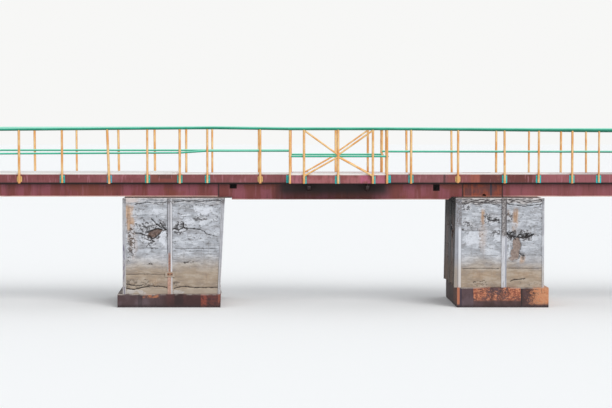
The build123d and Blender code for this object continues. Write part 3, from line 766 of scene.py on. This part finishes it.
def railFinish():
    # green paint, with a painted highlight along the top of each rail and painted shade underneath
    m = Finish("railPaint")
    broad = m.noise(0.4, 3)
    fine = m.noise(0.018, 4, shift=4)
    m.colour = broad.shade(0.35, 0.65, (22, 150, 117), (42, 168, 136))
    m.lay(
        (m.z.between(3.40, 3.90) * m.x.ramp(3.0, 1.5) * 0.5, (70, 214, 172)),
        # painted highlight on the tops and painted shade on the undersides
        ((m.upward + fine.sway(0.3)).ramp(0.25, 0.72) * 0.9, (168, 234, 212)),
        (m.upward.ramp(-0.25, -0.80) * 0.8, (20, 96, 78)),
        (fine.ramp(0.68, 0.76) * 0.6, (110, 74, 48)),
    )
    return m.finish(0.4, height=fine, strength=0.12, depth=0.001)


def postFinish():
    # yellow paint, with painted shade in orange towards the sides of each pipe
    m = Finish("postPaint")
    broad = m.noise(0.16, 4, tall=1.6)
    fine = m.noise(0.020, 4, shift=6)
    runs = m.noise(0.03, 4, tall=8, shift=2)
    m.colour = broad.shade(0.38, 0.62, (240, 172, 96), (252, 212, 148))
    # painted shade: orange towards the sides of each pipe
    sideShade = abs(m.rightward + runs.sway(0.25)).ramp(0.50, 0.90)
    m.lay(
        (sideShade * 0.75, (206, 122, 66)),
        (runs.ramp(0.58, 0.70) * 0.5, (214, 132, 78)),
        (fine.ramp(0.66, 0.75) * 0.6, (150, 92, 52)),
    )
    return m.finish(0.42, height=fine, strength=0.15, depth=0.001)


def plateFinish():
    # blue-green paint, bluer on the left and greener in the middle, and the three yellow plates
    m = Finish("platePaint")
    fine = m.noise(0.03, 4)
    m.colour = fine.shade(0.4, 0.65, (8, 184, 182), (66, 216, 214))
    m.lay(
        (m.x.band(-5.4, 0.1, 0.02) * 0.6, (104, 170, 206)),
        (m.x.between(-4.6, -3.6, 0.1) * 0.25, (60, 190, 150)),
        (m.x.ramp(2.0, 4.0) * 0.6, (10, 220, 222)),
        (m.attribute("yellow"), (232, 200, 128)),
        (fine.ramp(0.66, 0.75) * 0.5, (104, 70, 52)),
    )
    return m.finish(0.5, height=fine, strength=0.15, depth=0.001)


def strapFinish():
    # steel under old limewash, much like the concrete beside it, rusty and scraped in places
    m = Finish("strapSteel")
    fine = m.noise(0.03, 5, roughness=0.65)
    broad = m.noise(0.25, 4, shift=5)
    runs = m.noise(0.022, 4, tall=9, shift=3)
    streaks = m.noise(0.026, 4, level=5, shift=7)
    x, z = m.pierX(), m.z
    low = (z + broad.sway(0.22)).ramp(1.22, 0.84)
    m.colour = broad.shade(0.35, 0.65, (180, 180, 186), (212, 213, 218))
    m.lay(
        (low * 0.5, (206, 194, 180)),
        (runs.ramp(0.54, 0.68) * 0.6, (132, 126, 130)),
        (streaks.ramp(0.56, 0.70) * 0.5, (108, 102, 102)),
        (fine.ramp(0.60, 0.74) * 0.6, (120, 96, 84)),
    )
    rust = fine.shade(0.4, 0.6, (176, 112, 78), (126, 82, 66))
    # the left pier: a blue-purple line down its left angle, and its strap white at the right edge,
    # worn up the middle and rusty towards the cross plate
    m.lay((x.between(-5.1, -4.96) * 0.30, (160, 158, 160)))
    leftEdge = x.band(-5.030, 0.012, 0.008)
    leftEdge = leftEdge * z.ramp(2.1, 1.3) * (runs + broad.sway(0.6)).ramp(0.40, 0.55)
    m.lay((leftEdge * 0.85, (104, 96, 126)))
    strap = x.between(-4.0, -3.87, 0.003)
    middle = x.band(-3.945, 0.022, 0.014)
    edge = x.band(-3.900, 0.014, 0.008) * strap * (0.35 + 0.65 * z.ramp(0.76, 0.86))
    m.lay(
        (edge * (0.5 + 0.7 * (1 - runs)), (230, 229, 232)),
        (x.band(-3.988, 0.007, 0.006) * strap * z.ramp(1.2, 1.35) * 0.8, (84, 80, 84)),
        (x.band(-3.930, 0.006, 0.008) * strap * z.ramp(1.2, 1.35) * 0.6, (112, 108, 114)),
        (x.band(-3.881, 0.004, 0.004) * strap * z.ramp(0.9, 1.2) * 0.6, (110, 106, 110)),
        (strap * middle * z.ramp(1.1, 1.3) * (0.1 + 0.5 * runs), (150, 147, 152)),
    )
    rusty = strap * middle * (z + fine.sway(0.12)).ramp(1.34, 1.20) * z.ramp(0.74, 0.80)
    m.lay((rusty * (0.5 + 0.7 * runs), rust))
    foot = x.between(-3.990, -3.915, 0.008) * z.ramp(0.80, 0.74)
    bright = fine.shade(0.4, 0.6, (212, 156, 126), (176, 116, 88))
    m.lay((foot * (0.4 + 0.6 * runs), bright))
    # the ends of the cross plate are caked with the same tan grime as the concrete
    plate = z.between(0.715, 0.845, 0.002) * x.between(-4.10, -3.77, 0.002)
    m.lay(
        (plate * 0.85, fine.shade(0.4, 0.6, (184, 167, 148), (166, 146, 126))),
        (plate * x.band(-3.935, 0.062, 0.004) * z.band(0.785, 0.03, 0.004) * 0.8, rust),
    )
    # the left pier's right-hand angle, x brought back along its lean
    angle = x - (z - marks["left"]["high"]) * angleLean
    m.lay(
        (angle.between(-2.90, -2.5) * 0.35, (208, 208, 214)),
        (angle.between(-2.742, -2.5, 0.002) * 0.85, (240, 236, 232)),
    )
    for place in (-2.808, -2.775):
        scratch = angle.band(place, 0.003, 0.007) * x.between(-2.9, -2.5)
        m.lay((scratch * (0.3 + 0.6 * runs), (84, 78, 84)))
    # the right pier: its wide left angle with a bright inner rim, and its strap, dark above and
    # white below
    wideLeg = x.between(2.7, 3.0)
    leg = m.mix(low, (154, 156, 164), (156, 142, 128))
    scraped = fine.shade(0.42, 0.56, leg, (104, 96, 92))
    m.lay((wideLeg * 0.75, z.shade(1.78, 2.0, leg, scraped)))
    rim = x.band(2.948, 0.026, 0.008) * (z + fine.sway(0.1)).ramp(1.96, 1.84)
    m.lay(
        (rim * 0.9, m.mix(low, (236, 238, 244), (224, 218, 214))),
        (x.band(2.90, 0.008, 0.008) * z.ramp(1.9, 1.7) * 0.4, (134, 134, 144)),
    )
    other = x.between(3.93, 4.07, 0.003)
    above = (z + fine.sway(0.12)).ramp(1.62, 1.74)
    grime = fine.shade(0.42, 0.56, (176, 170, 168), (92, 82, 78))
    grime = m.mix(x.band(3.995, 0.030, 0.014), (78, 70, 68), grime)
    m.lay(
        (other * above * 0.85, grime),
        (other * (1 - above) * (0.9 - 0.8 * runs.ramp(0.5, 0.66)), (218, 218, 223)),
        (other * (1 - above) * x.band(4.044, 0.010, 0.008) * 0.7, (128, 130, 146)),
        ((z + broad.sway(0.1)).ramp(2.40, 2.52) * fine.ramp(0.35, 0.55) * 0.8, (92, 84, 82)),
    )
    # painted shade on the end faces towards minus x, and painted shadow from the deck, black near
    # the head
    shadedEnd = m.rightward.ramp(-0.5, -0.8)
    m.lay(
        (shadedEnd * (0.6 + 0.5 * runs), runs.shade(0.45, 0.6, (92, 72, 62), (44, 38, 38))),
        (shadedEnd * (z + broad.sway(0.3)).ramp(1.75, 2.35) * 0.9, (16, 13, 13)),
    )
    return m.finish(0.75, height=fine + runs, strength=0.35, depth=0.002)


def baseFinish():
    # old paint that flakes off rust: mostly dark on the left-hand bases, bright on the right
    m = Finish("baseSteel")
    broad = m.noise(0.35, 5)
    flakes = m.noise(0.06, 6, level=1.3, tall=0.8, shift=4, roughness=0.82)
    fine = m.noise(0.02, 4, shift=8)
    runs = m.noise(0.05, 4, tall=4, shift=6)
    x, z = m.pierX(), m.z
    orange, red = (202, 130, 90), (158, 78, 62)
    rust = flakes.shade(0.40, 0.56, (224, 150, 112), (158, 88, 66))
    rust = m.mix(fine.ramp(0.52, 0.62) * (1.6 * broad - 0.2).max(0).min(0.8), rust, (82, 50, 48))
    # left-hand bases
    dark = broad.shade(0.4, 0.6, (82, 62, 64), (102, 84, 88))
    brown = broad.shade(0.4, 0.6, (66, 40, 40), (88, 54, 54))
    left = x.shade(-4.20, -3.95, dark, brown)
    bits = x.between(-4.56, -4.20, 0.04) * (z + flakes.sway(0.08)).ramp(0.205, 0.245)
    bits = bits * flakes.ramp(0.54, 0.46)
    left = m.over(
        left,
        (bits * 0.8, orange),
        (x.between(-4.68, -4.60, 0.03) * 0.5, (46, 36, 40)),
    )
    blot = (x + flakes.sway(0.1)).between(-3.80, -3.64, 0.05)
    blot = blot * (z + fine.sway(0.1)).ramp(0.02, 0.10)
    left = m.mix(blot * 0.7, left, (42, 30, 32))
    patch = (x + flakes.sway(0.06)).between(-3.19, -3.07, 0.02) * flakes.ramp(0.60, 0.48)
    left = m.over(
        left,
        (patch * 0.8, red),
        (x.between(-3.07, -2.79, 0.03) * flakes.ramp(0.58, 0.46) * 0.6, (122, 66, 60)),
        (x.between(-2.790, -2.70, 0.004) * z.ramp(0.08, 0.14) * 0.75, (152, 86, 70)),
    )
    # right-hand bases
    lowEdge = (z + flakes.sway(0.10) + broad.sway(0.06)).ramp(0.13, 0.20)
    peel = x.between(3.273, 4.386, 0.01) * (flakes + broad.sway(0.9)).ramp(0.60, 0.50)
    peel = peel * lowEdge
    grey = broad.shade(0.35, 0.65, (92, 72, 76), (104, 86, 92))
    right = m.mix(peel, broad.shade(0.4, 0.6, (78, 54, 52), (96, 72, 74)), rust)
    right = m.over(
        right,
        (x.between(3.00, 3.265, 0.006) * 0.9, grey),
        (x.between(2.87, 2.940, 0.006) * z.ramp(0.04, 0.10) * 0.85, (200, 124, 92)),
        (x.between(2.952, 2.99, 0.006) * 0.7, (58, 54, 72)),
    )
    end = x.between(4.433, 5.2, 0.01)
    ending = (flakes + (x - 4.66) * 0.8).ramp(0.44, 0.60) * (z + flakes.sway(0.1)).ramp(0.03, 0.12)
    right = m.mix(end * ending, right, flakes.shade(0.42, 0.60, (216, 156, 118), orange))
    for spot in (3.72, 3.93):
        right = m.mix((x + flakes.sway(0.08)).band(spot, 0.02, 0.04) * 0.5, right, (70, 50, 48))
    right = m.mix(x.band(4.415, 0.012, 0.008) * 0.85, right, (34, 28, 30))
    m.colour = m.mix(x.between(2.5, 5.4), left, right)
    m.lay(
        (runs.ramp(0.56, 0.68) * 0.5, (60, 44, 44)),
        (fine.ramp(0.62, 0.74) * 0.5, (50, 36, 36)),
        ((z + flakes.sway(0.08)).ramp(0.10, 0.01) * 0.8, (48, 38, 40)),
        # painted shade on the faces towards minus x
        (m.rightward.ramp(-0.5, -0.8) * 0.85, m.mix(broad, (40, 32, 32), (78, 58, 54))),
    )
    mottle = (flakes + broad.sway(0.5)).ramp(0.46, 0.56)
    m.lay((m.rightward.ramp(0.5, 0.8) * mottle * 0.75, (84, 60, 58)))
    # spilt mortar along the top edge
    above = z - x.between(2.5, 5.4) * (marks["right"]["high"] - marks["left"]["high"])
    spill = (above + flakes.sway(0.04)).ramp(0.288, 0.300) * broad.ramp(0.55, 0.40)
    m.lay((spill * 0.7, (196, 186, 176)))
    return m.finish(0.8, height=flakes + 0.3 * fine, strength=0.6, depth=0.006)


def seatFinish():
    # bearing plates, brown with rust
    m = Finish("seatSteel")
    fine = m.noise(0.03, 5)
    m.colour = fine.shade(0.4, 0.6, (92, 70, 60), (60, 52, 50))
    return m.finish(0.8)


giveFinish(beamFinish(), "girder", "cross_beams", "outriggers")
giveFinish(edgeFinish(), "edge_channel")
giveFinish(linkFinish(), "girder_near_link", "girder_far_link")
giveFinish(bayFinish(), "bay_frame")
giveFinish(railFinish(), "rails", "bay_rails")
giveFinish(postFinish(), "posts", "bay_posts", "bay_brace")
strapSteel = strapFinish()
giveFinish(strapSteel, "straps")
giveFinish(baseFinish(), "base")
giveFinish(seatFinish(), "seat_plates")
print("stage: steel")


# Foot of the left piers' right-hand front angle, bent outward over the base

flareLook = {
    "rise": 0.155,
    "reach": 0.036,
    "bend": 2.2,  # the power of the way down that it curves out by
    "floor": 0.311,
    "off": 0.001,  # from the angle's face
    "thick": 0.006,
    "front": -1.150,
    "deep": 0.075,
    "points": 13,
}


def carried(outline, ys):
    # an outline of x and z at each place in ys, the first and last drawn in to their middle
    rings = np.empty((len(ys), len(outline), 3))
    rings[..., 0::2] = outline
    rings[[0, -1], :, 0::2] = outline.mean(axis=0)
    rings[..., 1] = np.array(ys)[:, None]
    return rings


def bentFoot(name, shift):
    # A strip follows the angle's edge from the top down and curves out by a power of the way down.
    # It has a thickness in x and is carried along y in a few steps.
    look = flareLook
    t = np.linspace(0, 1, look["points"])
    z = look["floor"] + look["rise"] * (1 - t)
    x = marks["left"]["foot"][1] + angleLean * (z - marks["left"]["high"]) + shift
    x = x + look["reach"] * t ** look["bend"] + look["off"]
    down, up = np.stack((x, z), axis=1), np.stack((x + look["thick"], z), axis=1)[::-1]
    ys = look["front"] + look["deep"] * np.array([0, 0, 0.5, 1, 1])
    return gridMesh(name, carried(np.concatenate((down, up)), ys), closed=True)


dress(bentFoot("bent_foot_inner", 0), strapSteel, "strap_steel")
dress(bentFoot("bent_foot_outer", -pierPitch), strapSteel, "strap_steel")


# Plates behind the post feet, with their bolts

plateLook = {
    "yellow": (-7.536, -1.794, 2.918),  # posts whose plates are yellow, with cut corners
    "near": 0.03,  # how near to one of them a plate's middle is
    "cut": 0.038,
    "plainCut": 0.004,  # corners of the other plates
    "boltRadius": 0.011,
    "boltHigh": 0.009,
    "inset": 0.018,
    "boltUp": 0.04,  # from the plate's lower and upper edges
    "postHalf": 0.034,  # no bolt nearer than this to a post's middle
}


def prism(outline, back, front, side):
    # an outline carried from back to front and closed at both ends
    faces = gridFaces(4, len(outline), True)
    rings = carried(outline, (back, back, front, front))
    return rings.reshape(-1, 3), faces[:, ::-1] if side > 0 else faces


def dressPlates(node, side, paint):
    # each plate fills the CAD one, as a rectangle with its corners cut off, and each bolt is six
    # points round a circle
    look, mesh = plateLook, nodes[node].data
    places = np.empty(len(mesh.vertices) * 3)
    mesh.vertices.foreach_get("co", places)
    corners = places.reshape(-1, 3).round(4)
    edges = np.unique(corners[:, 0])
    turn = np.arange(6) * math.pi / 3
    circle = look["boltRadius"] * np.stack((np.cos(turn), np.sin(turn)), axis=1)
    parts = []
    for left, right in zip(edges[0::2], edges[1::2]):
        own = corners[(corners[:, 0] >= left) & (corners[:, 0] <= right)]
        low, high = own[:, 2].min(), own[:, 2].max()
        back, *_, front = np.unique(own[:, 1])[::side]
        middle = (left + right) / 2
        yellow = side < 0 and any(abs(middle - x) < look["near"] for x in look["yellow"])
        c = look["cut" if yellow else "plainCut"]
        outline = np.array([
            (left + c, low), (right - c, low), (right, low + c), (right, high - c),
            (right - c, high), (left + c, high), (left, high - c), (left, low + c),
        ])
        parts.append((*prism(outline, back, front, side), float(yellow)))
        for x in (left + look["inset"], right - look["inset"]):
            if abs(x - middle) < look["postHalf"] or yellow:
                continue
            for z in (low + look["boltUp"], high - look["boltUp"]):
                bolt = prism(circle + (x, z), front, front + side * look["boltHigh"], side)
                parts.append((*bolt, 0.0))
    vertices, faces, yellow = joined(parts)
    piece = meshFrom("plates_" + node, vertices, faces, {"yellow": yellow})
    dress(piece, paint, "plate_paint", node)


platePaint = plateFinish()
dressPlates("post_plates_near", -1, platePaint)
dressPlates("post_plates_far", 1, platePaint)
print("stage: plates")


# Deck boards

boardLook = {
    "width": 0.15,
    "length": 3.0,
    "shortest": 0.05,
    "gap": 0.008,
    "endGap": 0.002,
    "round": 0.006,
    "sink": 0.006,  # the most that one board lies below its neighbours
    "kerbWidth": 0.08,
    "plankTop": 3.15,
    "flange": 0.076,  # of the edge channels, beside which the planks lie
}


def boardRun(low, high, width, seed):
    # A board is a rectangle with rounded top edges carried along x. Rows of boards fill the box
    # from low to high, each row starting at its own place and each board a little below the top.
    look = boardLook
    rows = max(1, round((high[1] - low[1]) / width))
    pitch = (high[1] - low[1]) / rows
    r, gap, top, bottom = look["round"], look["endGap"], high[2], low[2]
    half, centre = (pitch - look["gap"]) / 2, (top + bottom) / 2
    profile = np.array([
        (-half, bottom), (half, bottom), (half, top - r), (half - 0.3 * r, top - 0.3 * r),
        (half - r, top), (0, top), (r - half, top), (0.3 * r - half, top - 0.3 * r),
        (-half, top - r),
    ]) - (0, centre)
    # from end to end: closed in the middle, nearly full, full and the same back again
    scale = np.array([0.0, 0.97, 1.0, 1.0, 0.97, 0.0])
    faces = gridFaces(len(scale), len(profile), True)[:, [0, 3, 2, 1]]
    parts = []
    for row in range(rows):
        offset = look["length"] * lattice(row, 1, seed)
        cuts = np.append(np.arange(low[0] - offset, high[0], look["length"]), high[0])
        ends = np.clip(cuts, low[0], high[0])
        for k, (a, b) in enumerate(zip(ends, ends[1:])):
            if b - a < look["shortest"]:
                continue
            drop = look["sink"] * lattice(row, k + 7, seed)
            block = np.empty((len(scale), len(profile), 3))
            block[..., 0] = np.array((a + gap, a + gap, a + r, b - r, b - gap, b - gap))[:, None]
            block[..., 1:] = profile * scale[:, None, None]
            block[..., 1:] += (low[1] + pitch * (row + 0.5), centre - drop)
            parts.append((block.reshape(-1, 3), faces, lattice(row, k + 31, seed)))
    return joined(parts)


def boardFinish():
    # pale weathered boards, darker brown towards the right, with a painted highlight on the front
    # faces of the near edge
    m = Finish("deckBoards")
    grain = m.noise(0.012, 4, along=40)
    broad = m.noise(0.4, 4, shift=3)
    ahead = m.backward.ramp(-0.5, -0.9)
    m.colour = m.mix(m.attribute("tint"), (222, 218, 214), (238, 234, 232))
    m.lay(
        (m.x.ramp(-1.5, 3.0) * 0.6, (222, 208, 204)),
        (m.x.ramp(5.0, 7.0) * (0.25 + 0.4 * ahead), (150, 138, 130)),
        (grain.ramp(0.52, 0.68) * 0.5, (150, 138, 130)),
        (broad.ramp(0.55, 0.7) * 0.35, (168, 150, 146)),
        # painted highlight on the near edge's front faces at the left
        (ahead * m.x.ramp(5.4, 4.8) * 0.75, (255, 249, 242)),
    )
    return m.finish(0.85, height=grain, strength=0.3, depth=0.002)


def boxesOf(name):
    # the boxes that a deck node's boards fill: the planks, and the kerb boards on the near side
    look, (low, high) = boardLook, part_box(name)
    if name in ("deck_left", "deck_bay_far"):
        return [(low, high, look["width"])]
    flange, kerb, top = look["flange"], look["kerbWidth"], look["plankTop"]
    inset = flange if name == "deck_bay_near" else 0
    runs = [(low[0], high[0])]
    if name == "deck_mid":
        bayLow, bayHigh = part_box("bay_frame_near")
        runs = [(low[0], bayLow[0]), (bayHigh[0], high[0])]
    planks = ((low[0] + inset, low[1] + flange, low[2]), (high[0] - inset, high[1], top))
    kerbs = [((a, low[1], top), (b, low[1] + kerb, high[2]), kerb) for a, b in runs]
    return [(*planks, look["width"])] + kerbs


boards = boardFinish()
for seed, name in enumerate(sorted(n for n in nodes if n.startswith("deck"))):
    parts = [boardRun(*box, seed * 7 + run + 5) for run, box in enumerate(boxesOf(name))]
    vertices, faces, tint = joined(parts)
    dress(meshFrom("boards_" + name, vertices, faces, {"tint": tint}), boards, "deck_boards", name)
print("stage: deck")


# Stage

def stageFinish():
    # the background's colour as it is seen, and a plain grey for the light that it throws back
    m = Finish("paleFloor")
    m.colour = m.mix(m.seen(), light["floor"], light["background"])
    return m.finish(1.0)


def addStage():
    # a pale floor and sky, and one soft sun
    size = light["floorSize"]
    corners = [[(x, y, 0.0) for x in (-size, size)] for y in (-size, size)]
    floor = gridMesh("floor", np.array(corners))
    floor.data.materials.append(stageFinish())
    bpy.context.scene.world = bpy.data.worlds.new("paleSky")
    sky = Nodes(bpy.context.scene.world)
    lit = sky.node("ShaderNodeBackground", {}, {0: light["skyTint"], 1: light["sky"]})
    shown = sky.node("ShaderNodeBackground", {}, {0: light["background"], 1: 1.0})
    blend = sky.node("ShaderNodeMixShader", {}, {0: sky.seen(), 1: lit, 2: shown})
    sky.node("ShaderNodeOutputWorld", {}, {0: blend})
    lamp = bpy.data.lights.new("sun", "SUN")
    lamp.energy, lamp.angle = light["sunPower"], math.radians(light["sunSize"])
    sun = bpy.data.objects.new("sun", lamp)
    sun.rotation_euler = [math.radians(a) for a in light["sunTilt"]]
    bpy.context.scene.collection.objects.link(sun)


def addCamera():
    # the photograph's view
    data = bpy.data.cameras.new("camera")
    data.lens, data.sensor_width = camera["lens"], camera["sensor"]
    data.clip_end = camera["reach"]
    eye = bpy.data.objects.new("camera", data)
    eye.location = camera["place"]
    eye.rotation_euler = (math.radians(90 - camera["pitchDown"]), 0, 0)
    bpy.context.scene.collection.objects.link(eye)
    bpy.context.scene.camera = eye


addStage()
addCamera()
bpy.context.scene.view_settings.view_transform = "Standard"
print("stage: camera and light")
